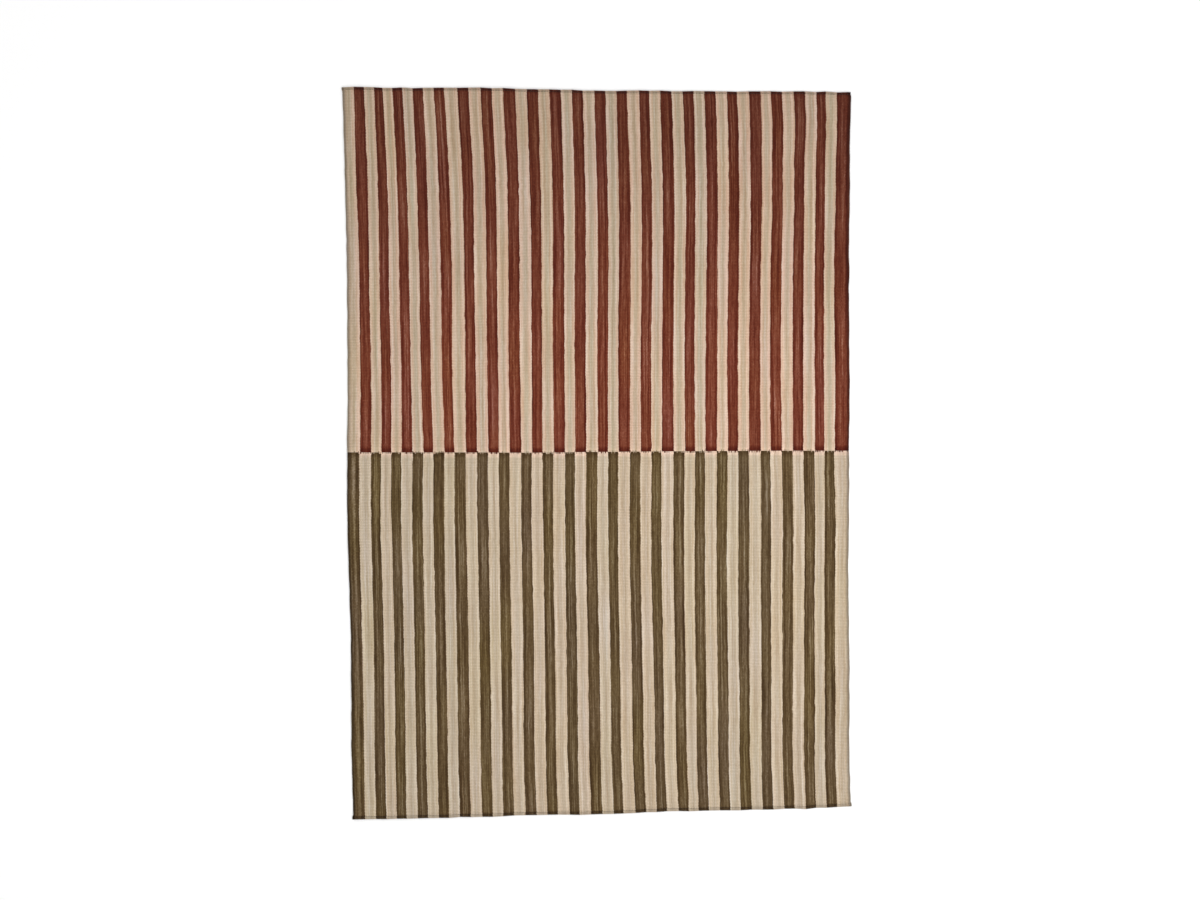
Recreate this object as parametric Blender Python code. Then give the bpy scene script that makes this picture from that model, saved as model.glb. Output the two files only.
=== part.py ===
"""A flat-woven striped wool rug, lying flat, as one closed solid.

Metres, Z up. The width runs along X, the length along Y and the far end points to +Y. The underside lies on
z = 0, and the origin is under the middle of the rug's bounding box.
"""
from collections import namedtuple

import bmesh
import bpy
import numpy as np

# Driving sizes
WIDTH = 1.600
LENGTH = 2.300
CLOTH_THICKNESS = 0.0045

# The narrow hem, turned and stitched, at each short end
HEM_WIDTH = 0.0115
HEM_RISE = 0.0020
STITCH_DIP = 0.0004
STITCH_WIDTH = 0.0020

# The firm side edges, where the weave is turned back
SIDE_BEAD_WIDTH = 0.0080
SIDE_BEAD_RISE = 0.0007

# The rounded rim: its radius in plan, and the height of its outermost line as a share of the thickness there
RIM_RADIUS_TOP = 0.0032
RIM_RADIUS_UNDER = 0.0024
RIM_SHARE = 0.45

# The sunken line at mid-length, where the yarns of the two halves are interlocked
JOIN_FURROW_DEPTH = 0.0006
JOIN_FURROW_HALF_WIDTH = 0.0030

# Stripes: the yarns of each one run lengthwise, and it changes colour at mid-length
STRIPES = 46
BEIGE = (0.500, 0.397, 0.279)
RUST_RED = (0.153, 0.044, 0.026)
OLIVE_BROWN = (0.121, 0.091, 0.053)
WOOL_ROUGHNESS = 0.95

# The uneven outline, in millimetres outside (+) or inside (-) the rectangle of WIDTH by LENGTH
SideStation = namedtuple("SideStation", "along_m left_mm right_mm")
SIDE_EDGES = (
    SideStation(-1.15, -15.5, 1.0),
    SideStation(-1.00, -11.2, -3.0),
    SideStation(-0.80, -8.8, -2.6),
    SideStation(-0.60, -7.0, -4.8),
    SideStation(-0.40, -1.6, -6.5),
    SideStation(-0.20, 4.1, -5.0),
    SideStation(0.00, 3.3, -4.5),
    SideStation(0.20, 3.0, -2.6),
    SideStation(0.40, 3.8, -4.0),
    SideStation(0.60, 5.6, -4.5),
    SideStation(0.80, 9.9, -2.1),
    SideStation(1.00, 15.3, -1.2),
    SideStation(1.15, 19.5, 3.0),
)
EndStation = namedtuple("EndStation", "across_m near_mm far_mm")
END_EDGES = (
    EndStation(-0.80, 24.0, 11.0),
    EndStation(-0.60, 20.5, 8.5),
    EndStation(-0.40, 15.0, 8.5),
    EndStation(-0.20, 9.0, 4.4),
    EndStation(0.00, 6.4, -0.7),
    EndStation(0.20, -2.5, -1.6),
    EndStation(0.40, -5.7, -2.7),
    EndStation(0.60, -10.0, -3.0),
    EndStation(0.80, -18.0, -6.0),
)
MM = 0.001

# Grid lines of the mesh: distances in from each edge, and even steps between them
SIDE_INSETS = (0.0, 0.0008, 0.0020, 0.0034, 0.0060, 0.0090)
END_INSETS = (0.0, 0.0008, 0.0020, 0.0036, 0.0080, 0.0115, 0.0135, 0.0160)
INNER_COLUMNS = 16
INNER_ROWS = 24


def clear_scene():
    for thing in list(bpy.data.objects):
        bpy.data.objects.remove(thing, do_unlink=True)


def outline_edge(table, column, at):
    """How far one edge stands outside the rectangle, in metres, on a smooth curve through its stations."""
    stations = np.array([row[0] for row in table])
    values = np.array([getattr(row, column) * MM for row in table])
    slopes = np.gradient(values, stations)
    i = np.clip(np.searchsorted(stations, at) - 1, 0, len(stations) - 2)
    span = stations[i + 1] - stations[i]
    u = (at - stations[i]) / span
    start = (1 + 2 * u) * (1 - u) ** 2 * values[i] + u * (1 - u) ** 2 * span * slopes[i]
    end = u * u * (3 - 2 * u) * values[i + 1] + u * u * (u - 1) * span * slopes[i + 1]
    return start + end


def grid_lines(full, insets, inner, extra=()):
    """Distances from one edge to the other: close together at both edges, even steps between."""
    first = insets[-1]
    even = np.linspace(first, full - first, inner + 1)[1:-1]
    if extra:
        even = [place for place in even if min(abs(place - line) for line in extra) > max(insets)]
    return np.sort(np.concatenate([insets, [full - inset for inset in insets], even, extra]))


def plan_points(columns, rows):
    """X and Y of every grid point: the four uneven edges, blended smoothly across the rug."""
    s = (columns / WIDTH)[:, None]
    t = (rows / LENGTH)[None, :]
    across, along = columns - WIDTH / 2, rows - LENGTH / 2
    left = -WIDTH / 2 - outline_edge(SIDE_EDGES, "left_mm", along)[None, :]
    right = WIDTH / 2 + outline_edge(SIDE_EDGES, "right_mm", along)[None, :]
    near = -LENGTH / 2 - outline_edge(END_EDGES, "near_mm", across)[:, None]
    far = LENGTH / 2 + outline_edge(END_EDGES, "far_mm", across)[:, None]
    x = left + (right - left) * s
    y = near + (far - near) * t
    return x - (x.min() + x.max()) / 2, y - (y.min() + y.max()) / 2


def rounding(inset, radius):
    """0 at the rim, rising on a quarter circle to 1 at one radius inside it."""
    u = np.clip(inset / radius, 0.0, 1.0)
    return np.sqrt(1 - (1 - u) ** 2)


def bump(distance, half_width):
    """A smooth rise of 1 at no distance, falling to 0 at half_width."""
    u = np.clip(np.abs(distance) / half_width, 0.0, 1.0)
    return (1 - u * u) ** 2


def heights(columns, rows):
    """Heights of the top and of the underside at every grid point."""
    from_side = np.minimum(columns, WIDTH - columns)[:, None]
    from_end = np.minimum(rows, LENGTH - rows)[None, :]
    from_join = (rows - LENGTH / 2)[None, :]
    hem = HEM_RISE * (from_end < HEM_WIDTH)
    stitch = STITCH_DIP * bump(from_end - HEM_WIDTH - STITCH_WIDTH, STITCH_WIDTH)
    bead = SIDE_BEAD_RISE * bump(from_side - SIDE_BEAD_WIDTH / 2, SIDE_BEAD_WIDTH / 2)
    furrow = JOIN_FURROW_DEPTH * bump(from_join, JOIN_FURROW_HALF_WIDTH)
    full = CLOTH_THICKNESS + np.maximum(hem, bead) - stitch - furrow
    rim = RIM_SHARE * full
    top = rim + (full - rim) * rounding(from_side, RIM_RADIUS_TOP) * rounding(from_end, RIM_RADIUS_TOP)
    under = rim * (1 - rounding(from_side, RIM_RADIUS_UNDER) * rounding(from_end, RIM_RADIUS_UNDER))
    return top, under


def rug_mesh():
    columns = grid_lines(WIDTH, SIDE_INSETS, INNER_COLUMNS)
    middle = LENGTH / 2
    furrow = (middle - JOIN_FURROW_HALF_WIDTH, middle, middle + JOIN_FURROW_HALF_WIDTH)
    rows = grid_lines(LENGTH, END_INSETS, INNER_ROWS, furrow)
    x, y = plan_points(columns, rows)
    top, under = heights(columns, rows)
    last_column, last_row = len(columns) - 1, len(rows) - 1

    shape = bmesh.new()
    upper = {}
    lower = {}
    for i in range(len(columns)):
        for j in range(len(rows)):
            upper[i, j] = shape.verts.new((x[i, j], y[i, j], top[i, j]))
            on_rim = i in (0, last_column) or j in (0, last_row)
            lower[i, j] = upper[i, j] if on_rim else shape.verts.new((x[i, j], y[i, j], under[i, j]))
    for i in range(last_column):
        for j in range(last_row):
            corners = ((i, j), (i + 1, j), (i + 1, j + 1), (i, j + 1))
            shape.faces.new([upper[corner] for corner in corners])
            shape.faces.new([lower[corner] for corner in reversed(corners)])
    mesh = bpy.data.meshes.new("rug")
    shape.to_mesh(mesh)
    shape.free()
    mesh.shade_smooth()
    return mesh


def striped_wool():
    """Matt wool, with the stripes worked out from the place on the rug."""
    material = bpy.data.materials.new("striped_wool")
    material.use_nodes = True
    nodes, links = material.node_tree.nodes, material.node_tree.links
    surface = nodes["Principled BSDF"]
    surface.inputs["Roughness"].default_value = WOOL_ROUGHNESS
    surface.inputs["Metallic"].default_value = 0.0

    def math(operation, first, second):
        node = nodes.new("ShaderNodeMath")
        node.operation = operation
        for socket, value in zip(node.inputs, (first, second)):
            if isinstance(value, float):
                socket.default_value = value
            else:
                links.new(value, socket)
        return node.outputs[0]

    def mix(factor, first, second):
        node = nodes.new("ShaderNodeMix")
        node.data_type = "RGBA"
        links.new(factor, node.inputs[0])
        for socket, colour in zip(node.inputs[6:8], (first, second)):
            if isinstance(colour, tuple):
                socket.default_value = (*colour, 1.0)
            else:
                links.new(colour, socket)
        return node.outputs[2]

    place = nodes.new("ShaderNodeSeparateXYZ")
    links.new(nodes.new("ShaderNodeTexCoord").outputs["Object"], place.inputs[0])
    stripe = math("FLOOR", math("DIVIDE", math("ADD", place.outputs["X"], WIDTH / 2), WIDTH / STRIPES), 0.0)
    odd = math("MODULO", stripe, 2.0)
    far_half = math("GREATER_THAN", place.outputs["Y"], 0.0)
    far_colours = mix(odd, BEIGE, RUST_RED)
    near_colours = mix(odd, OLIVE_BROWN, BEIGE)
    links.new(mix(far_half, near_colours, far_colours), surface.inputs["Base Color"])
    return material


def build_rug():
    rug = bpy.data.objects.new("rug", rug_mesh())
    rug.data.materials.append(striped_wool())
    bpy.context.scene.collection.objects.link(rug)


clear_scene()
build_rug()
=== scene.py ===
"""The looks of a flat-woven striped wool rug, lying flat and seen from straight above.

The cloth is one mesh. Its columns run along the stripe edges and its rows follow the ribs of the weave, so
the ribs, the hems, the rolled side edges and the sunken line at mid-length are all real shape. The yarns
that lie side by side within a stripe are colour and bump, worked out from the same weave coordinates.
"""

import math
from collections import namedtuple

import bpy
import numpy as np
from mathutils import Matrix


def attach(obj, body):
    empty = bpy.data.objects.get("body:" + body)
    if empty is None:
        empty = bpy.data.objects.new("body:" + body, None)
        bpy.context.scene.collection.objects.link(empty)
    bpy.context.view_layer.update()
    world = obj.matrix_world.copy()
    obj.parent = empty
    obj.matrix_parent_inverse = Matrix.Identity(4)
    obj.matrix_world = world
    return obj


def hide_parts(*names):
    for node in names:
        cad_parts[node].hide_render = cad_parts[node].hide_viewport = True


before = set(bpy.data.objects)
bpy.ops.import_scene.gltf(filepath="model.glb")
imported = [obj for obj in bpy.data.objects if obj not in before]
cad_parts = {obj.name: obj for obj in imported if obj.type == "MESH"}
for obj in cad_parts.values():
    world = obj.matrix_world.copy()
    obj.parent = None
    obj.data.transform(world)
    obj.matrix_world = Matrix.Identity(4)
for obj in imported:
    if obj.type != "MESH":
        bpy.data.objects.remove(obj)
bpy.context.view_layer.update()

MM = 0.001

# Sizes of the cloth in metres, the same as those of the frame's node or close to them
WIDTH = 1.600
LENGTH = 2.300
CLOTH_THICKNESS = 0.0045
HEM_WIDTH = 0.0115
HEM_RISE = 0.0020
HEM_TURNED_UNDER = 0.012
HEM_SHOULDER = 0.0020
TURNED_EDGE_DEPTH = 0.0009
TURNED_EDGE_HALF_WIDTH = 0.0022
NEAR_SEAM_INSET = 0.0088
FAR_SEAM_INSET = 0.0070
SEAM_DIP = 0.0008
SEAM_HALF_WIDTH = 0.0022
SIDE_BEAD_WIDTH = 0.0080
SIDE_BEAD_RISE = 0.0007
JOIN_FURROW_DEPTH = 0.0008
JOIN_FURROW_HALF_WIDTH = 0.0035

# The rounded rim: its radii in plan, and the height of its outermost line as a share of the thickness there
RIM_RADIUS_TOP = 0.0032
RIM_RADIUS_UNDER = 0.0024
RIM_SHARE = 0.45

# The weave: ribs run across the rug, and the yarns over them run lengthwise
RIBS = 500
RIB_PITCH = LENGTH / RIBS
RIB_RELIEF = 0.00030
YARNS_PER_STRIPE = 24
HALF_STRIPE_YARNS = YARNS_PER_STRIPE / 2
STRIPES = 46
FIRST_STRIPE = 0.0403
LAST_STRIPE = 0.0438

# The mesh's lines of points: distances in from the rim, then rows along each rib, the first of which stays
# clear of the rim's rows by a share of their step
SIDE_RIM = np.array((0.0, 0.0005, 0.0012, 0.0022, 0.0034, 0.0058, 0.0085))
END_RIM = np.array((0.0, 0.0004, 0.0010, 0.0019))
ROWS_PER_RIB = 3
ROW_CLEARANCE = 0.4

# The underside has every row near the ends, and few between
UNDER_END_ROWS = 12
UNDER_ROW_STEP = 30

# The map for baking: the top's share of its width, and the margin around each face of the cloth
BAKE_TOP_SHARE = 0.68
BAKE_MARGIN = 0.01

# Hand-made unevenness in plan, in metres, and the distances over which it changes: of the ribs, the edges of
# the stripes, and the outline
RIB_WAVER = 0.0009
RIB_WAVER_SPANS = (0.35, 0.02)
STRIPE_EDGE_OFFSET = 0.0012
STRIPE_EDGE_WAVER = 0.0008
STRIPE_EDGE_WAVER_SPAN = 0.30
STRIPE_EDGE_FLUTTER = 0.00048
STRIPE_EDGE_FLUTTER_SPAN = 0.018
SIDE_WAVER = 0.0006
SIDE_WAVER_SPAN = 0.03
END_WAVER = 0.0009
END_WAVER_SPAN = 0.018
OUTLINE_WAVER_REACH = 0.030

# The same in height: of the top, the rim's lift off the floor, and the ribs, as a share of their own height
TOP_WAVER = 0.0004
TOP_WAVER_SPANS = (0.20, 0.22)
RIM_LIFT = 0.0012
RIM_LIFT_SPANS = (0.30, 0.30)
RIM_LIFT_REACH = 0.060
RIB_HEIGHT_VARIATION = 0.18
RIB_HEIGHT_SPANS = (0.08, 0.03)

# Smooth unevenness is a curve through seeded values at this many places or more
FEWEST_KNOTS = 3
SEED = 11

# Stitches that hold the turned hems. The height of the arch and the depth of its ends are in radii of the
# thread, and the size at the ends is a share of the radius.
STITCH_PITCH = 0.0090
STITCH_LENGTH = 0.0062
STITCH_RADIUS = 0.00055
STITCH_ARCH = 1.5
STITCH_SUNK = 0.9
STITCH_END_SIZE = 0.55
STITCH_SHIFT = 0.0004
STITCH_SLANT = 0.0005
STITCH_FREE_END = 0.012
STITCH_RINGS = 5
STITCH_SIDES = 6

# The uneven outline, in millimetres outside (+) or inside (-) the rectangle of WIDTH by LENGTH
SideStation = namedtuple("SideStation", "along_m left_mm right_mm")
SIDE_EDGES = (
    SideStation(-1.15, -15.5, 1.0),
    SideStation(-1.00, -11.2, -3.0),
    SideStation(-0.80, -8.8, -2.6),
    SideStation(-0.60, -7.0, -4.8),
    SideStation(-0.40, -1.6, -6.5),
    SideStation(-0.20, 4.1, -5.0),
    SideStation(0.00, 3.3, -4.5),
    SideStation(0.20, 3.0, -2.6),
    SideStation(0.40, 3.8, -4.0),
    SideStation(0.60, 5.6, -4.5),
    SideStation(0.80, 9.9, -2.1),
    SideStation(1.00, 15.3, -1.2),
    SideStation(1.15, 19.5, 3.0),
)
EndStation = namedtuple("EndStation", "across_m near_mm far_mm")
END_EDGES = (
    EndStation(-0.80, 24.0, 11.0),
    EndStation(-0.60, 20.5, 8.5),
    EndStation(-0.40, 15.0, 8.5),
    EndStation(-0.20, 9.0, 4.4),
    EndStation(0.00, 6.4, -0.7),
    EndStation(0.20, -2.5, -1.6),
    EndStation(0.40, -5.7, -2.7),
    EndStation(0.60, -10.0, -3.0),
    EndStation(0.80, -18.0, -6.0),
)

# How far the ends of the turned hems stick out past the sides (+) or draw in from them (-)
HemFlare = namedtuple("HemFlare", "left_mm right_mm")
NEAR_HEM_FLARE = HemFlare(2.5, 3.5)
FAR_HEM_FLARE = HemFlare(2.0, -2.5)
HEM_FLARE_REACH = 0.025

# The line at mid-length, where the colours change, in millimetres beyond the middle of the rug's box
JoinStation = namedtuple("JoinStation", "across_m beyond_mm")
JOIN_LINE = (
    JoinStation(-0.80, 3.8),
    JoinStation(-0.40, 2.6),
    JoinStation(-0.20, 0.8),
    JoinStation(0.00, 3.8),
    JoinStation(0.20, 5.9),
    JoinStation(0.40, 6.2),
    JoinStation(0.60, 7.4),
    JoinStation(0.80, 8.6),
)

# How far the weave has drifted right (+) or left (-) of an even division, in millimetres, at some of the
# stripe edges
DRIFT_EDGES = (1, 4, 8, 12, 18, 27, 36, 42, 45)
DriftStation = namedtuple("DriftStation", "along_m e1 e4 e8 e12 e18 e27 e36 e42 e45")
STRIPE_DRIFT = (
    DriftStation(-1.15, 1.0, -3.0, -5.8, -4.9, -1.0, 7.2, 1.5, 3.2, 0.4),
    DriftStation(-0.85, 0.1, -2.5, -6.4, -4.1, -2.3, 3.4, 0.1, 1.6, 0.3),
    DriftStation(-0.60, -1.6, -3.6, -7.7, -5.1, -2.8, 1.2, 0.1, 3.4, 1.1),
    DriftStation(-0.25, 0.5, -2.2, -5.9, -3.4, -1.3, 0.3, 1.6, 6.6, 4.0),
    DriftStation(0.00, 1.5, -1.6, -7.2, -5.7, -2.0, 0.3, 0.8, 2.3, 0.0),
    DriftStation(0.22, 1.3, -2.5, -14.9, -9.7, -5.0, -0.7, -1.8, -0.5, -1.5),
    DriftStation(0.48, -2.2, -7.6, -17.3, -10.7, -5.6, 2.5, 1.3, 0.9, -2.3),
    DriftStation(0.73, -2.3, -8.1, -19.7, -11.3, -4.7, 4.5, 3.9, 2.9, -1.0),
    DriftStation(0.92, -3.1, -10.0, -22.0, -13.6, -5.8, 2.7, 3.4, 4.3, 1.0),
    DriftStation(1.04, -2.9, -13.1, -25.2, -18.6, -7.5, -0.7, 2.0, 6.2, 2.6),
    DriftStation(1.15, -4.0, -16.0, -30.0, -23.0, -10.5, -4.5, -4.5, 0.0, -0.5),
)

# Wool colours, as linear values
FAR_BEIGE = (0.562, 0.437, 0.306)
# A pinker beige for the far beige's edges beside the red, part of a painted highlight
BEIGE_HIGHLIGHT_BESIDE_RED = (0.615, 0.436, 0.321)
NEAR_BEIGE = (0.548, 0.438, 0.317)
BEIGE_BELOW_RED = (0.570, 0.418, 0.317)
RUST_RED = (0.214, 0.0524, 0.0250)
OLIVE_BROWN = (0.146, 0.0935, 0.0415)

# Unevenness in the depth of colour, as shares, and how many times as much of it each wool shows
STRIPE_VARIATION = 0.015
DRIFT_VARIATION = 0.02
YARN_VARIATION = 0.12
STREAK_VARIATION = 0.28
MOTTLE_VARIATION = 0.09
PICK_VARIATION = 0.08
DARK_WOOL_UNEVENNESS = 1.28
BEIGE_WOOL_UNEVENNESS = 0.95

# Unevenness in hue, and painted shade: how much darker the wools are towards the far end, where the light
# falls off, as shares
RED_VARIATION = 0.018
FAR_BEIGE_RED_VARIATION = 0.045
DARK_BLUE_VARIATION = 0.20
BEIGE_BLUE_VARIATION = 0.06
FAR_END_RED_SHADE = 0.33
FAR_END_BEIGE_SHADE = 0.12
FAR_END_SPAN_RIBS = (0.56 * RIBS, 1.04 * RIBS)

# How finely each noise is divided: features in one stripe or one yarn across, and in one rib along
NoiseScale = namedtuple("NoiseScale", "across along")
STRIPE_WANDER_SCALE = NoiseScale(0.9, 0.08)
STRIPE_DRIFT_SCALE = NoiseScale(0.6, 0.012)
STRIPE_BATCH_SCALE = NoiseScale(1.7, 0.012)
YARN_STREAK_SCALE = NoiseScale(0.26, 0.02)
YARN_MOTTLE_SCALE = NoiseScale(0.29, 0.20)
YARN_HUE_SCALE = NoiseScale(0.25, 0.02)
YARN_CHANGES_PER_RIB = 0.004
FLECK_DETAIL = 2.0

# Places apart in the noise and in the tables of chance, so that no two kinds of unevenness agree
BATCH_SLICE = 5.0
INTERLOCK_ROW = 3.0
HUE_ROWS = 7.0
PICK_COLUMN = 0.5

# Painted shade and painted highlight: a deeper colour in dark wool along the stripe edges, the line at
# mid-length, the seams and the ends, and a lighter one in beige along the stripe edges and the line at
# mid-length. The edge's span runs from the middle of a stripe, 0, to its edge, 1.
DARK_EDGE_SHADE_DEPTH = 0.21
OLIVE_JOIN_SHADE_DEPTH = 0.23
RED_JOIN_SHADE_DEPTH = 0.44
DARK_SEAM_SHADE_DEPTH = 0.45
DARK_END_SHADE_DEPTH = 0.22
BEIGE_EDGE_HIGHLIGHT = 0.22
NEAR_JOIN_HIGHLIGHT = 0.27
FAR_JOIN_HIGHLIGHT = 0.11
STRIPE_EDGE_SPAN = (0.10, 0.75)
JOIN_SPAN_RIBS = (0.92, 4.6)
RED_REACHES_PAST_JOIN_RIBS = 0.2
JOIN_UNEVENNESS_RIBS = 0.62

# Shading, as shares, and the distances over which it fades away
GROOVE_SHADE = 0.45
SIDE_SHADE = 0.50
DARK_END_SHADE = 0.27
BEIGE_END_SHADE = 0.26
SIDE_SPAN_MM = (3.375, 13.5)
END_SPAN_MM = (3.75, 15.0)
BEIGE_SEAM_SHADE = 0.17
SEAM_REACH_MM = 3.0
FIBRE_SHADE = 0.10
TWIST_SHADE = 0.10

# How far the yarns wander sideways, in yarns, and the shape of each pick: its taper towards its ends, and
# how sharply its ends drop
YARN_WANDER = 0.35
PICK_TAPER = 0.25
PICK_END_POWER = 3.0

# The hairs of the yarn, the slanting lines of its twist in radians over half a pick, and how much of the
# pick's height each makes
FIBRES_PER_YARN = 5.0
FIBRES_PER_RIB = 2.5
FIBRE_SLANT = 0.5
FIBRE_DETAIL = 3.0
TWIST_ALONG = 9.0
TWIST_ACROSS = 3.0
FIBRE_RELIEF = 0.20
TWIST_RELIEF = 0.15

# The wool's surface
WOOL_RELIEF = 0.00045
WOOL_BUMP = 0.8
WOOL_ROUGHNESS = 0.92
WOOL_SPECULAR = 0.12
WOOL_SHEEN = 0.10
WOOL_SHEEN_ROUGHNESS = 0.5
ROUGHNESS_VARIATION = 0.05

# The dark thread of the hems: its flecks in each millimetre, and the radians that its twist turns in each
THREAD = (0.050, 0.036, 0.022)
THREAD_FLECK_SCALE = NoiseScale(0.8, 0.8)
THREAD_TWIST_X = 7.0
THREAD_TWIST_Y = 5.0
THREAD_FLECK_SHADE = 0.15
THREAD_TWIST_SHADE = 0.10
THREAD_RELIEF = 0.0002
THREAD_BUMP = 0.6
THREAD_ROUGHNESS = 0.85

# The photograph: straight from above, 1200 pixels wide
PHOTO_SIZE_PX = (1200, 900)
METRES_PER_PIXEL = 0.0031865
RUG_MIDDLE_PX = (596.9, 453.3)
LENS_MM = 50.0
SENSOR_MM = 36.0

# Studio
FLOOR_HALF = 40.0
FLOOR_DROP = 0.0002
FLOOR_COLOUR = (0.97, 0.97, 0.968)
FLOOR_ROUGHNESS = 0.9
AMBIENT = 1.00
KEY_PLACE = (0.60, -0.30, 1.80)
KEY_SIZE = 0.9
KEY_WATTS = 12.5

# The cloth's distances that its material reads from the mesh
DISTANCES = ("from_side", "from_end", "from_seam")

rng = np.random.default_rng(SEED)


def curve_through(stations, values, at):
    """Values at any places, on a smooth curve through those of the stations, in one column or several."""
    stations, values, at = (np.asarray(part, dtype=float) for part in (stations, values, at))
    slopes = np.gradient(values, stations, axis=0)
    i = np.clip(np.searchsorted(stations, at) - 1, 0, len(stations) - 2)
    extra = (1,) * (values.ndim - 1)
    span = (stations[i + 1] - stations[i]).reshape(at.shape + extra)
    u = ((at - stations[i]).reshape(at.shape + extra)) / span
    start = (1 + 2 * u) * (1 - u) ** 2 * values[i] + u * (1 - u) ** 2 * span * slopes[i]
    end = u * u * (3 - 2 * u) * values[i + 1] + u * u * (u - 1) * span * slopes[i + 1]
    return start + end


def edge_curve(table, column, at):
    """What one column of a table says at any places, in metres."""
    return curve_through([row[0] for row in table], [getattr(row, column) * MM for row in table], at)


def uneven_line(at, span, size, columns=()):
    """Seeded smooth unevenness along a line, or a column of it for each of several lines."""
    low, high = at.min(), at.max()
    knots = np.linspace(low, high, max(FEWEST_KNOTS, int((high - low) / span) + 2))
    return curve_through(knots, rng.normal(0.0, size, (len(knots), *columns)), at)


def uneven_sheet(across, along, spans, size):
    """Seeded smooth unevenness over the rug, for every column and row."""
    span_across, span_along = spans
    lines = uneven_line(along, span_along, size, (max(FEWEST_KNOTS, int(WIDTH / span_across) + 2),))
    knots = np.linspace(across.min(), across.max(), lines.shape[1])
    return curve_through(knots, lines.T, across)


def rounding(inset, radius):
    """0 at the rim, rising on a quarter circle to 1 at one radius inside it."""
    u = np.clip(inset / radius, 0.0, 1.0)
    return np.sqrt(1 - (1 - u) ** 2)


def bump(distance, half_width):
    """A smooth rise of 1 at no distance, falling to 0 at half_width."""
    u = np.clip(np.abs(distance) / half_width, 0.0, 1.0)
    return (1 - u * u) ** 2


def step_down(distance, start, width):
    """1 up to start, falling smoothly to 0 over width."""
    u = np.clip((distance - start) / width, 0.0, 1.0)
    return 1 - u * u * (3 - 2 * u)


def row_places():
    """Distance of each row of the mesh from the near end."""
    inner = np.arange(1, RIBS * ROWS_PER_RIB) * RIB_PITCH / ROWS_PER_RIB
    clear = END_RIM[-1] + ROW_CLEARANCE * RIB_PITCH / ROWS_PER_RIB
    inner = inner[(inner > clear) & (inner < LENGTH - clear)]
    return np.concatenate([END_RIM, inner, LENGTH - END_RIM[::-1]])


def stripe_edges(along):
    """Distance of each inner stripe edge from the left side, for every row."""
    edges = np.arange(1, STRIPES)
    even = FIRST_STRIPE + (edges - 1) * (WIDTH - FIRST_STRIPE - LAST_STRIPE) / (STRIPES - 2)
    drift_table = np.array([row[1:] for row in STRIPE_DRIFT]) * MM
    drift = curve_through([row.along_m for row in STRIPE_DRIFT], drift_table, along)
    drift = curve_through(DRIFT_EDGES, drift.T, edges)
    offset = rng.normal(0.0, STRIPE_EDGE_OFFSET, (len(edges), 1))
    waver = uneven_line(along, STRIPE_EDGE_WAVER_SPAN, STRIPE_EDGE_WAVER, (len(edges),)).T
    flutter = uneven_line(along, STRIPE_EDGE_FLUTTER_SPAN, STRIPE_EDGE_FLUTTER, (len(edges),)).T
    return even[:, None] + drift + offset + waver + flutter


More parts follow.
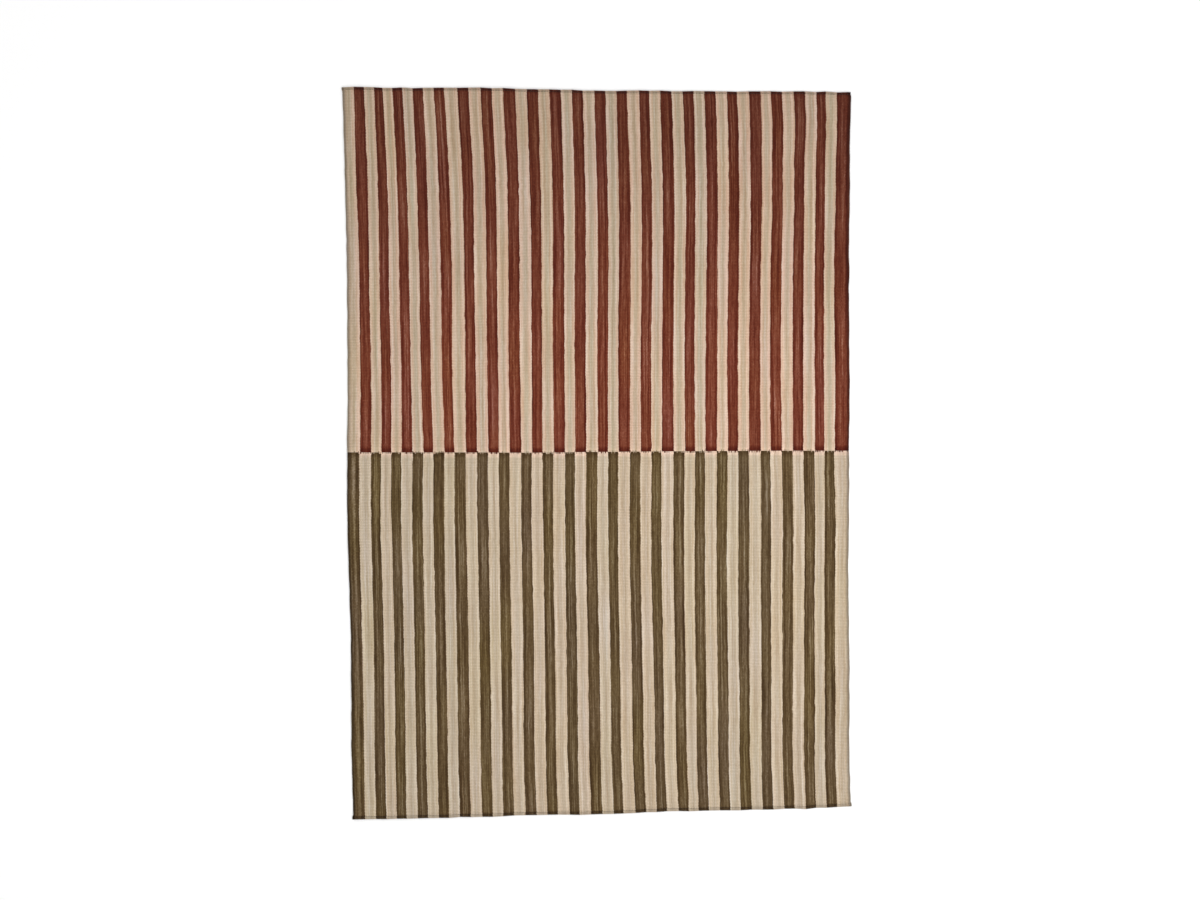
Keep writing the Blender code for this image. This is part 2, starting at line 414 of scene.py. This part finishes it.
class Weave:
    """Places and heights of the grid: a row of arrays for each column, from the left side to the right."""

    def __init__(self):
        self.rows = row_places()
        self.along = self.rows - LENGTH / 2
        left_rim = np.repeat(SIDE_RIM[:, None], len(self.rows), axis=1)
        self.from_left = np.concatenate([left_rim, stripe_edges(self.along), WIDTH - left_rim[::-1]])
        self.from_right = WIDTH - self.from_left
        self.from_far = LENGTH - self.rows
        last_stripe = STRIPES - SIDE_RIM[::-1] / LAST_STRIPE
        self.stripe = np.concatenate([SIDE_RIM / FIRST_STRIPE, np.arange(1, STRIPES), last_stripe])
        self.rib = self.rows / RIB_PITCH
        self.from_side = np.minimum(self.from_left, self.from_right)
        self.from_end = np.minimum(self.rows, self.from_far)[None, :]
        from_seams = np.abs(self.rows - NEAR_SEAM_INSET), np.abs(self.from_far - FAR_SEAM_INSET)
        self.from_seam = np.minimum(*from_seams)[None, :]
        self.plan()
        self.heights()

    def plan(self):
        """X and Y of every point: the uneven edges blended across the rug, then the unevenness of its own."""
        across = self.from_left - WIDTH / 2
        waver = uneven_sheet(across.mean(axis=1), self.along, RIB_WAVER_SPANS, RIB_WAVER)
        waver = waver * bump(self.along, LENGTH / 2)
        left = -WIDTH / 2 - edge_curve(SIDE_EDGES, "left_mm", self.along)[None, :]
        right = WIDTH / 2 + edge_curve(SIDE_EDGES, "right_mm", self.along)[None, :]
        near = -LENGTH / 2 - edge_curve(END_EDGES, "near_mm", across)
        far = LENGTH / 2 + edge_curve(END_EDGES, "far_mm", across)
        middle = (near.min() + far.max()) / 2
        near, far = near - middle, far - middle
        self.x = left + (right - left) * self.from_left / WIDTH
        self.x -= (self.x.min() + self.x.max()) / 2

        # The rows keep to the ends, and bend between them to follow the line at mid-length
        t = (self.rows[None, :] + waver) / LENGTH
        join = edge_curve(JOIN_LINE, "beyond_mm", across)
        self.y = near + (far - near) * t + 4 * t * (1 - t) * (join - (near + far) / 2)

        # The ends of the hems stick out or draw in, and the outline wavers
        for from_this_end, flare in ((self.rows, NEAR_HEM_FLARE), (self.from_far, FAR_HEM_FLARE)):
            at_hem = MM * step_down(from_this_end, HEM_WIDTH / 2, HEM_WIDTH)
            self.x -= flare.left_mm * at_hem * step_down(self.from_left, 0.0, HEM_FLARE_REACH)
            self.x += flare.right_mm * at_hem * step_down(self.from_right, 0.0, HEM_FLARE_REACH)
        for inset in (self.from_left, self.from_right):
            waver = uneven_line(self.along, SIDE_WAVER_SPAN, SIDE_WAVER)
            self.x += waver * step_down(inset, 0.0, OUTLINE_WAVER_REACH)
        for inset in (self.rows, self.from_far):
            waver = uneven_line(across, END_WAVER_SPAN, END_WAVER)
            self.y += waver * step_down(inset[None, :], 0.0, OUTLINE_WAVER_REACH)

    def heights(self):
        """Z of every point of the top and of the underside."""
        nominal = self.from_left.mean(axis=1) - WIDTH / 2
        hem = HEM_RISE * step_down(self.from_end, HEM_WIDTH - HEM_SHOULDER / 2, HEM_SHOULDER)
        bead = SIDE_BEAD_RISE * bump(self.from_side - SIDE_BEAD_WIDTH / 2, SIDE_BEAD_WIDTH / 2)
        dip = SEAM_DIP * bump(self.from_seam, SEAM_HALF_WIDTH)
        furrow = JOIN_FURROW_DEPTH * bump(self.along[None, :], JOIN_FURROW_HALF_WIDTH)
        ribs = -RIB_RELIEF * np.cos(2 * math.pi * self.rib)[None, :]
        ribs = ribs * (1 + uneven_sheet(nominal, self.along, RIB_HEIGHT_SPANS, RIB_HEIGHT_VARIATION))
        waver = uneven_sheet(nominal, self.along, TOP_WAVER_SPANS, TOP_WAVER)
        full = CLOTH_THICKNESS + np.maximum(hem, bead) - dip - furrow + ribs + waver
        rim = RIM_SHARE * full
        over = rounding(self.from_side, RIM_RADIUS_TOP) * rounding(self.from_end, RIM_RADIUS_TOP)
        below = rounding(self.from_side, RIM_RADIUS_UNDER) * rounding(self.from_end, RIM_RADIUS_UNDER)
        lift = np.abs(uneven_sheet(nominal, self.along, RIM_LIFT_SPANS, RIM_LIFT))
        lift = lift * step_down(np.minimum(self.from_side, self.from_end), 0.0, RIM_LIFT_REACH)
        self.top = rim + (full - rim) * over + lift
        turned_edge = TURNED_EDGE_DEPTH * bump(self.from_end - HEM_TURNED_UNDER, TURNED_EDGE_HALF_WIDTH)
        self.under = rim * (1 - below) + turned_edge + lift


def cloth_faces(columns, rows, under_rows):
    """Corner numbers of the top's faces, then of the underside's, which has fewer rows."""

    def upper(i, j):
        return i * rows + j

    below = {j: k for k, j in enumerate(under_rows[1:-1])}
    first = columns * rows

    def lower(i, j):
        if i in (0, columns - 1) or j in (0, rows - 1):
            return upper(i, j)
        return first + (i - 1) * len(below) + below[j]

    i, j = np.meshgrid(np.arange(columns - 1), np.arange(rows - 1), indexing="ij")
    corner = (i * rows + j).ravel()
    top = np.stack([corner, corner + rows, corner + rows + 1, corner + 1], axis=1).tolist()
    under = []
    for start, end in zip(under_rows[:-1], under_rows[1:]):
        for column in range(columns - 1):
            left = range(start, end + 1) if column == 0 else (start, end)
            right = range(start, end + 1) if column == columns - 2 else (start, end)
            ring = [lower(column, row) for row in left]
            ring += [lower(column + 1, row) for row in reversed(right)]
            under.append(ring)
    return top, under


def add_map(mesh, name, places):
    """A UV map from one place for each face corner."""
    layer = mesh.uv_layers.new(name=name)
    layer.data.foreach_set("uv", np.ascontiguousarray(places, dtype=np.float32).ravel())


def cloth_mesh(weave):
    """The closed sheet, with its maps and the distances that its material reads."""
    columns, rows = weave.x.shape
    last_inner = rows - UNDER_END_ROWS - UNDER_ROW_STEP // 2
    under_rows = [
        *range(UNDER_END_ROWS),
        *range(UNDER_END_ROWS + UNDER_ROW_STEP, last_inner, UNDER_ROW_STEP),
        *range(rows - UNDER_END_ROWS, rows),
    ]
    top_faces, under_faces = cloth_faces(columns, rows, under_rows)
    inside = np.ix_(range(1, columns - 1), under_rows[1:-1])

    def each_point(upper, lower):
        upper, lower = (np.broadcast_to(part, weave.x.shape) for part in (upper, lower))
        return np.concatenate([upper.ravel(), lower[inside].ravel()])

    x, y = each_point(weave.x, weave.x), each_point(weave.y, weave.y)
    z = each_point(weave.top, weave.under)
    stripe = each_point(weave.stripe[:, None], weave.stripe[:, None])
    rib = each_point(weave.rib[None, :], weave.rib[None, :])
    mesh = bpy.data.meshes.new("rug_cloth")
    mesh.from_pydata(np.stack([x, y, z], axis=1).tolist(), [], top_faces + under_faces)
    corners = np.empty(len(mesh.loops), dtype=np.int32)
    mesh.loops.foreach_get("vertex_index", corners)
    on_top = np.arange(len(corners)) < 4 * len(top_faces)

    low, span = np.array([x.min(), y.min()]), np.array([np.ptp(x), np.ptp(y)])
    flat = (np.stack([x, y], axis=1)[corners] - low) / span
    top_size = np.array([BAKE_TOP_SHARE, 1.0]) - 2 * BAKE_MARGIN
    under_size = np.array([1 - BAKE_TOP_SHARE, 1.0]) - 2 * BAKE_MARGIN
    under_place = np.array([BAKE_TOP_SHARE, 0.0]) + BAKE_MARGIN + flat * under_size
    bake = np.where(on_top[:, None], BAKE_MARGIN + flat * top_size, under_place)
    add_map(mesh, "OFBake", bake)
    add_map(mesh, "weave", np.stack([stripe[corners], rib[corners]], axis=1))
    for name in DISTANCES:
        values = getattr(weave, name)
        layer = mesh.attributes.new(name, "FLOAT", "POINT")
        layer.data.foreach_set("value", (each_point(values, values) / MM).astype(np.float32))
    mesh.shade_smooth()
    return mesh


class Graph:
    """Short calls for the nodes of one material."""

    def __init__(self, material):
        material.use_nodes = True
        self.nodes, self.links = material.node_tree.nodes, material.node_tree.links
        self.surface = self.nodes["Principled BSDF"]

    def put(self, socket, value):
        if isinstance(value, bpy.types.NodeSocket):
            self.links.new(value, socket)
        elif isinstance(value, tuple) and socket.type == "RGBA":
            socket.default_value = (*value, 1.0)
        else:
            socket.default_value = value

    def make(self, kind, settings=(), **inputs):
        node = self.nodes.new(kind)
        for name, value in dict(settings).items():
            setattr(node, name, value)
        for name, value in inputs.items():
            self.put(node.inputs[name.replace("_", " ")], value)
        return node

    def set_surface(self, **inputs):
        """Set the sockets of the surface itself."""
        for name, value in inputs.items():
            self.put(self.surface.inputs[name.replace("_", " ")], value)

    def math(self, operation, *values):
        node = self.nodes.new("ShaderNodeMath")
        node.operation = operation
        for socket, value in zip(node.inputs, values):
            self.put(socket, value)
        return node.outputs[0]

    def place(self, x, y, z=0.0):
        return self.make("ShaderNodeCombineXYZ", X=x, Y=y, Z=z).outputs[0]

    def noise(self, x, y, detail=1.0, z=0.0):
        """Smooth noise with features about one unit across, stretched to run from about -1 to 1."""
        node = self.make("ShaderNodeTexNoise", Vector=self.place(x, y, z), Scale=1.0, Detail=detail)
        return self.math("MULTIPLY", self.math("SUBTRACT", node.outputs[0], 0.5), 4.0)

    def scaled_noise(self, x, y, scale, detail=1.0, z=0.0):
        """Noise with as many features in one unit of x and of y as the scale says."""
        return self.noise(self.times(x, scale.across), self.times(y, scale.along), detail, z)

    def chance(self, x, y):
        """A random value from -1 to 1 for each pair of x and y."""
        node = self.make("ShaderNodeTexWhiteNoise", {"noise_dimensions": "2D"}, Vector=self.place(x, y))
        return self.math("MULTIPLY_ADD", node.outputs[0], 2.0, -1.0)

    def mix(self, factor, first, second):
        """The colour first where factor is 0, and second where it is 1."""
        node = self.nodes.new("ShaderNodeMix")
        node.data_type = "RGBA"
        first_colour, second_colour = node.inputs[6:8]
        self.put(node.inputs[0], factor)
        self.put(first_colour, first)
        self.put(second_colour, second)
        return node.outputs[2]

    def shade(self, colour, factor):
        """A colour times a number."""
        node = self.nodes.new("ShaderNodeVectorMath")
        node.operation = "SCALE"
        self.put(node.inputs[0], colour)
        self.put(node.inputs["Scale"], factor)
        return node.outputs[0]

    def tint(self, colour, factors):
        """A colour times a number for each of its three parts."""
        node = self.nodes.new("ShaderNodeVectorMath")
        node.operation = "MULTIPLY"
        self.put(node.inputs[0], colour)
        self.put(node.inputs[1], factors)
        return node.outputs[0]

    def times(self, *factors):
        total = factors[0]
        for factor in factors[1:]:
            total = self.math("MULTIPLY", total, factor)
        return total

    def total(self, *parts):
        total = parts[0]
        for part in parts[1:]:
            total = self.math("ADD", total, part)
        return total

    def one_minus(self, value):
        return self.math("SUBTRACT", 1.0, value)

    def vary(self, value, size):
        """1 plus size times a value."""
        return self.math("MULTIPLY_ADD", value, size, 1.0)

    def between(self, factor, first, second):
        """The number first where factor is 0, and second where it is 1."""
        return self.math("MULTIPLY_ADD", factor, second - first, first)

    def from_middle(self, value):
        """A place from 0 to 1 in a whole unit, as a place from -1 to 1."""
        return self.math("MULTIPLY_ADD", self.math("FRACT", value), 2.0, -1.0)

    def near(self, distance, reach):
        """1 where distance is 0, falling evenly to 0 at reach."""
        far = self.math("DIVIDE", self.math("ABSOLUTE", distance), reach)
        return self.math("MAXIMUM", self.one_minus(far), 0.0)

    def ease(self, value, start, end):
        """0 up to start, rising smoothly to 1 at end."""
        node = self.nodes.new("ShaderNodeMapRange")
        node.interpolation_type = "SMOOTHSTEP"
        for name, part in (("Value", value), ("From Min", start), ("From Max", end)):
            self.put(node.inputs[name], part)
        return node.outputs[0]

    def fade(self, distance, span):
        """1 up to the start of the span, falling smoothly to 0 at its end."""
        return self.one_minus(self.ease(distance, *span))


# What is known of each point of the cloth, as sockets of its material: the place in stripes and ribs; the
# pick, which is the bit of a yarn that shows over one rib; nearness to the lines of the rug, from 0 to 1;
# and the stripe
Place = namedtuple("Place", "stripe rib")
Pick = namedtuple("Pick", "yarn rib yarn_place across along")
Nearness = namedtuple("Nearness", "side end seam join far_end")
Stripe = namedtuple("Stripe", "number far_half is_beige is_dark beige_far edge inner_edge colour")


def wool_place(g):
    """The place in stripes and ribs, from the cloth's own map."""
    node = g.make("ShaderNodeUVMap", {"uv_map": "weave"})
    parts = g.make("ShaderNodeSeparateXYZ", Vector=node.outputs[0])
    return Place(parts.outputs[0], parts.outputs[1])


def wool_pick(g, place):
    """The pick's numbers, and how far the point lies across and along it, from -1 to 1.

    The picks of every other rib are half a yarn to the side. The outermost yarns stay in their stripes.
    """
    rib = g.math("FLOOR", place.rib)
    half_step = g.times(g.math("MODULO", rib, 2.0), 0.5)
    wander = g.times(g.scaled_noise(place.stripe, place.rib, STRIPE_WANDER_SCALE), YARN_WANDER)
    shift = g.total(half_step, wander)
    yarn_place = g.math("MULTIPLY_ADD", place.stripe, float(YARNS_PER_STRIPE), shift)
    yarn = g.math("MAXIMUM", g.math("FLOOR", yarn_place), 1.0)
    yarn = g.math("MINIMUM", yarn, YARNS_PER_STRIPE * STRIPES - 2.0)
    return Pick(yarn, rib, yarn_place, g.from_middle(yarn_place), g.from_middle(place.rib))


def wool_nearness(g, place):
    """Nearness to the sides, the ends, the seams, the line at mid-length and the far end."""
    from_side, from_end, from_seam = (
        g.make("ShaderNodeAttribute", {"attribute_name": name}).outputs["Fac"] for name in DISTANCES
    )
    from_join = g.math("ABSOLUTE", g.math("SUBTRACT", place.rib, float(RIBS // 2)))
    return Nearness(
        side=g.fade(from_side, SIDE_SPAN_MM),
        end=g.fade(from_end, END_SPAN_MM),
        seam=g.near(from_seam, SEAM_REACH_MM),
        join=g.fade(from_join, JOIN_SPAN_RIBS),
        far_end=g.ease(place.rib, *FAR_END_SPAN_RIBS),
    )


def wool_stripe(g, pick, near):
    """Which stripe, half and wool a pick belongs to, its nearness to the stripe's edges, and its colour.

    A yarn's number is turned into how many yarns it lies inside (+) or outside (-) an even stripe. In the
    near half the beige stripes are a yarn wider, and the olive ones a yarn narrower.
    """
    yarn_middle = g.math("ADD", pick.yarn, 0.5 + HALF_STRIPE_YARNS)
    folded = g.math("PINGPONG", yarn_middle, float(YARNS_PER_STRIPE))
    inside = g.math("SUBTRACT", folded, HALF_STRIPE_YARNS)
    even_far = g.math("GREATER_THAN", inside, 0.0)
    near_folded = g.math("PINGPONG", g.math("ADD", yarn_middle, 0.5), float(YARNS_PER_STRIPE))
    even_near = g.math("GREATER_THAN", near_folded, HALF_STRIPE_YARNS + 0.5)

    number = g.math("FLOOR", g.math("DIVIDE", pick.yarn, float(YARNS_PER_STRIPE)))
    ribs_past_join = g.math("SUBTRACT", pick.rib, RIBS // 2 - 0.5)
    red_reach = g.times(g.math("PINGPONG", number, 1.0), RED_REACHES_PAST_JOIN_RIBS)
    interlock = g.times(g.chance(pick.yarn, INTERLOCK_ROW), JOIN_UNEVENNESS_RIBS)
    far_half = g.math("GREATER_THAN", g.total(ribs_past_join, red_reach, interlock), 0.0)

    from_edge = g.math("DIVIDE", g.math("ABSOLUTE", inside), HALF_STRIPE_YARNS)
    edge = g.ease(g.one_minus(from_edge), *STRIPE_EDGE_SPAN)
    inner_edge = g.times(edge, g.one_minus(near.side))
    # The far beige grows pinker towards its edges beside the red, part of a painted highlight
    far_colour = g.mix(even_far, RUST_RED, g.mix(inner_edge, FAR_BEIGE, BEIGE_HIGHLIGHT_BESIDE_RED))
    near_colour = g.mix(even_near, g.mix(near.join, NEAR_BEIGE, BEIGE_BELOW_RED), OLIVE_BROWN)
    beige_far = g.times(far_half, even_far)
    is_beige = g.total(beige_far, g.times(g.one_minus(far_half), g.one_minus(even_near)))
    return Stripe(
        number=number,
        far_half=far_half,
        is_beige=is_beige,
        is_dark=g.one_minus(is_beige),
        beige_far=beige_far,
        edge=edge,
        inner_edge=inner_edge,
        colour=g.mix(far_half, near_colour, far_colour),
    )


def wool_colour_and_shade(g, place, pick, near, stripe):
    """The wool's dye, uneven in depth and hue, and painted shade that deepens dark wool along the rug's
    lines.
    """
    length_of_yarn = g.math("FLOOR", g.times(place.rib, YARN_CHANGES_PER_RIB))
    streaks = g.scaled_noise(pick.yarn, pick.rib, YARN_STREAK_SCALE, FLECK_DETAIL)
    mottle = g.scaled_noise(pick.yarn, pick.rib, YARN_MOTTLE_SCALE, FLECK_DETAIL)
    uneven = g.total(
        g.times(g.chance(stripe.number, stripe.far_half), STRIPE_VARIATION),
        g.times(g.scaled_noise(place.stripe, place.rib, STRIPE_DRIFT_SCALE), DRIFT_VARIATION),
        g.times(g.chance(pick.yarn, length_of_yarn), YARN_VARIATION),
        g.times(streaks, STREAK_VARIATION),
        g.times(mottle, MOTTLE_VARIATION),
        g.times(g.chance(g.math("ADD", pick.yarn, PICK_COLUMN), pick.rib), PICK_VARIATION),
    )
    uneven = g.times(uneven, g.between(stripe.is_beige, DARK_WOOL_UNEVENNESS, BEIGE_WOOL_UNEVENNESS))
    # Painted shade by the furrow at mid-length, deeper in the red than in the olive
    join_shade_depth = g.between(stripe.far_half, OLIVE_JOIN_SHADE_DEPTH, RED_JOIN_SHADE_DEPTH)
    # Depth of colour: the dye's unevenness, and painted shade that deepens dark wool along the stripe edges,
    # the line at mid-length, the seams and the ends
    depth = g.total(
        g.vary(uneven, -1.0),
        g.times(stripe.edge, stripe.is_dark, DARK_EDGE_SHADE_DEPTH),
        g.times(near.join, stripe.is_dark, join_shade_depth),
        g.times(near.seam, stripe.is_dark, DARK_SEAM_SHADE_DEPTH),
        g.times(near.end, stripe.is_dark, DARK_END_SHADE_DEPTH),
    )
    dyed_and_shaded = g.make("ShaderNodeGamma", Color=stripe.colour, Gamma=depth).outputs[0]

    by_stripe = g.chance(stripe.number, g.math("ADD", stripe.far_half, HUE_ROWS))
    by_yarn = g.scaled_noise(pick.yarn, pick.rib, YARN_HUE_SCALE)
    red_size = g.between(stripe.beige_far, RED_VARIATION, FAR_BEIGE_RED_VARIATION)
    red = g.times(g.total(by_stripe, by_yarn), red_size)
    by_batch = g.scaled_noise(stripe.number, pick.rib, STRIPE_BATCH_SCALE, z=BATCH_SLICE)
    blue = g.times(by_batch, g.between(stripe.is_beige, DARK_BLUE_VARIATION, BEIGE_BLUE_VARIATION))
    return g.tint(dyed_and_shaded, g.place(g.vary(red, 1.0), 1.0, g.vary(blue, 1.0)))


def woven_wool():
    """Weft-faced wool: yarns side by side along the stripes, each bedded between the ribs."""
    material = bpy.data.materials.new("woven_wool")
    g = Graph(material)
    place = wool_place(g)
    pick = wool_pick(g, place)
    near = wool_nearness(g, place)
    stripe = wool_stripe(g, pick, near)

    # The rounded pick, narrower towards its ends, with its hairs and twist
    along, across = g.math("ABSOLUTE", pick.along), g.math("ABSOLUTE", pick.across)
    width = g.vary(g.math("POWER", along, 2.0), -PICK_TAPER)
    off_middle = g.math("MINIMUM", g.math("DIVIDE", across, width), 1.0)
    round_across = g.math("SQRT", g.one_minus(g.math("POWER", off_middle, 2.0)))
    relief = g.times(round_across, g.one_minus(g.math("POWER", along, PICK_END_POWER)))
    fibre_place = g.math("MULTIPLY_ADD", pick.along, FIBRE_SLANT, g.times(pick.yarn_place, FIBRES_PER_YARN))
    fibre = g.noise(fibre_place, g.times(place.rib, FIBRES_PER_RIB), FIBRE_DETAIL)
    twist = g.math("MULTIPLY_ADD", pick.along, TWIST_ALONG, g.times(pick.across, TWIST_ACROSS))
    twist = g.math("SINE", twist)

    # Painted light and shade: highlights on the beige at the stripe edges and along the line at mid-length,
    # and shade in the grooves around each pick, in its twist, at the rims, along the hems and towards the
    # far end
    join_highlight = g.between(stripe.far_half, NEAR_JOIN_HIGHLIGHT, FAR_JOIN_HIGHLIGHT)
    end_shade = g.between(stripe.is_beige, -DARK_END_SHADE, -BEIGE_END_SHADE)
    far_end_shade = g.between(stripe.is_beige, -FAR_END_RED_SHADE, -FAR_END_BEIGE_SHADE)
    shade = g.times(
        g.vary(g.times(stripe.inner_edge, stripe.is_beige), BEIGE_EDGE_HIGHLIGHT),
        g.vary(g.times(near.join, stripe.is_beige), join_highlight),
        g.math("MULTIPLY_ADD", relief, GROOVE_SHADE, 1.0 - GROOVE_SHADE),
        g.total(g.vary(fibre, FIBRE_SHADE), g.times(twist, TWIST_SHADE)),
        g.vary(near.side, -SIDE_SHADE),
        g.vary(near.end, end_shade),
        g.vary(g.times(near.seam, stripe.is_beige), -BEIGE_SEAM_SHADE),
        g.vary(near.far_end, far_end_shade),
    )
    height = g.total(relief, g.times(fibre, FIBRE_RELIEF), g.times(twist, TWIST_RELIEF))
    bumps = g.make("ShaderNodeBump", Strength=WOOL_BUMP, Distance=WOOL_RELIEF, Height=height)
    g.set_surface(
        Base_Color=g.shade(wool_colour_and_shade(g, place, pick, near, stripe), shade),
        Normal=bumps.outputs[0],
        Roughness=g.math("MULTIPLY_ADD", fibre, ROUGHNESS_VARIATION, WOOL_ROUGHNESS),
        Sheen_Weight=WOOL_SHEEN,
        Sheen_Roughness=WOOL_SHEEN_ROUGHNESS,
        Specular_IOR_Level=WOOL_SPECULAR,
    )
    return material


def thread_material():
    """Twisted dark brown sewing thread."""
    material = bpy.data.materials.new("hem_thread")
    g = Graph(material)
    place = g.make("ShaderNodeSeparateXYZ", Vector=g.make("ShaderNodeTexCoord").outputs["Object"])
    x, y = (g.times(place.outputs[axis], 1.0 / MM) for axis in (0, 1))
    fleck = g.scaled_noise(x, y, THREAD_FLECK_SCALE, FLECK_DETAIL)
    twist = g.math("SINE", g.math("MULTIPLY_ADD", x, THREAD_TWIST_X, g.times(y, THREAD_TWIST_Y)))
    shade = g.times(g.vary(fleck, THREAD_FLECK_SHADE), g.vary(twist, THREAD_TWIST_SHADE))
    bumps = g.make("ShaderNodeBump", Strength=THREAD_BUMP, Distance=THREAD_RELIEF, Height=twist)
    g.set_surface(
        Base_Color=g.shade(THREAD, shade),
        Normal=bumps.outputs[0],
        Roughness=g.math("MULTIPLY_ADD", fleck, ROUGHNESS_VARIATION, THREAD_ROUGHNESS),
    )
    return material


def stitches_mesh(weave):
    """A row of short threads along the inner line of each hem, arched, with both ends in the cloth."""
    starts = np.arange(STITCH_FREE_END, WIDTH - STITCH_FREE_END, STITCH_PITCH)
    turn = np.linspace(0, 2 * math.pi, STITCH_SIDES, endpoint=False)
    arch = np.sin(np.linspace(0, math.pi, STITCH_RINGS))
    sizes = STITCH_RADIUS * (STITCH_END_SIZE + (1 - STITCH_END_SIZE) * arch)
    points, faces = [], []
    for seam in (NEAR_SEAM_INSET, LENGTH - FAR_SEAM_INSET):
        j = int(np.argmin(np.abs(weave.rows - seam)))
        across = weave.from_left[:, j]
        for start in starts:
            place = start + np.linspace(0, STITCH_LENGTH, STITCH_RINGS) + rng.normal(0.0, STITCH_SHIFT)
            x, y, z = (np.interp(place, across, part[:, j]) for part in (weave.x, weave.y, weave.top))
            y = y + np.linspace(-0.5, 0.5, STITCH_RINGS) * rng.normal(0.0, STITCH_SLANT)
            z = z + STITCH_RADIUS * (STITCH_ARCH * arch - STITCH_SUNK)
            first = len(points)
            for k, size in enumerate(sizes):
                for angle in turn:
                    points.append((x[k], y[k] + size * math.cos(angle), z[k] + size * math.sin(angle)))
            for k in range(STITCH_RINGS - 1):
                ring = first + k * STITCH_SIDES
                for side in range(STITCH_SIDES):
                    a, b = ring + side, ring + (side + 1) % STITCH_SIDES
                    faces.append((a, b, b + STITCH_SIDES, a + STITCH_SIDES))
            last = len(points) - STITCH_SIDES
            faces.append([first + side for side in reversed(range(STITCH_SIDES))])
            faces.append([last + side for side in range(STITCH_SIDES)])
    mesh = bpy.data.meshes.new("hem_stitches")
    mesh.from_pydata(points, [], faces)
    mesh.shade_smooth()
    return mesh


def make_object(name, mesh, material):
    thing = bpy.data.objects.new(name, mesh)
    mesh.materials.append(material)
    bpy.context.scene.collection.objects.link(thing)
    return thing


def studio():
    """A plain pale floor, an even pale surround and one soft light above, to the right."""
    bpy.ops.mesh.primitive_plane_add(size=2 * FLOOR_HALF, location=(0.0, 0.0, -FLOOR_DROP))
    floor = bpy.context.object
    floor.name = "floor"
    material = bpy.data.materials.new("floor")
    Graph(material).set_surface(Base_Color=FLOOR_COLOUR, Roughness=FLOOR_ROUGHNESS)
    floor.data.materials.append(material)

    world = bpy.data.worlds.new("studio")
    world.use_nodes = True
    background = world.node_tree.nodes["Background"]
    background.inputs["Color"].default_value = (1.0, 1.0, 1.0, 1.0)
    background.inputs["Strength"].default_value = AMBIENT
    bpy.context.scene.world = world

    light = bpy.data.lights.new("key", "AREA")
    light.shape = "DISK"
    light.size = KEY_SIZE
    light.energy = KEY_WATTS
    key = bpy.data.objects.new("key", light)
    key.location = KEY_PLACE
    key.visible_camera = False
    bpy.context.scene.collection.objects.link(key)
    bpy.context.scene.view_settings.view_transform = "Standard"
    return floor


def camera():
    """Straight above, so that the rug lies where it does in the photograph."""
    data = bpy.data.cameras.new("camera")
    data.lens = LENS_MM
    data.sensor_width = SENSOR_MM
    eye = bpy.data.objects.new("camera", data)
    width = PHOTO_SIZE_PX[0] * METRES_PER_PIXEL
    right = (PHOTO_SIZE_PX[0] / 2 - RUG_MIDDLE_PX[0]) * METRES_PER_PIXEL
    up = (RUG_MIDDLE_PX[1] - PHOTO_SIZE_PX[1] / 2) * METRES_PER_PIXEL
    eye.location = (right, up, CLOTH_THICKNESS + width * LENS_MM / SENSOR_MM)
    bpy.context.scene.collection.objects.link(eye)
    bpy.context.scene.camera = eye


camera()
floor = studio()
weave = Weave()
rug = make_object("rug_cloth", cloth_mesh(weave), woven_wool())
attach(rug, "root")
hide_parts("rug")
stitches = make_object("hem_stitches", stitches_mesh(weave), thread_material())
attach(stitches, "root")
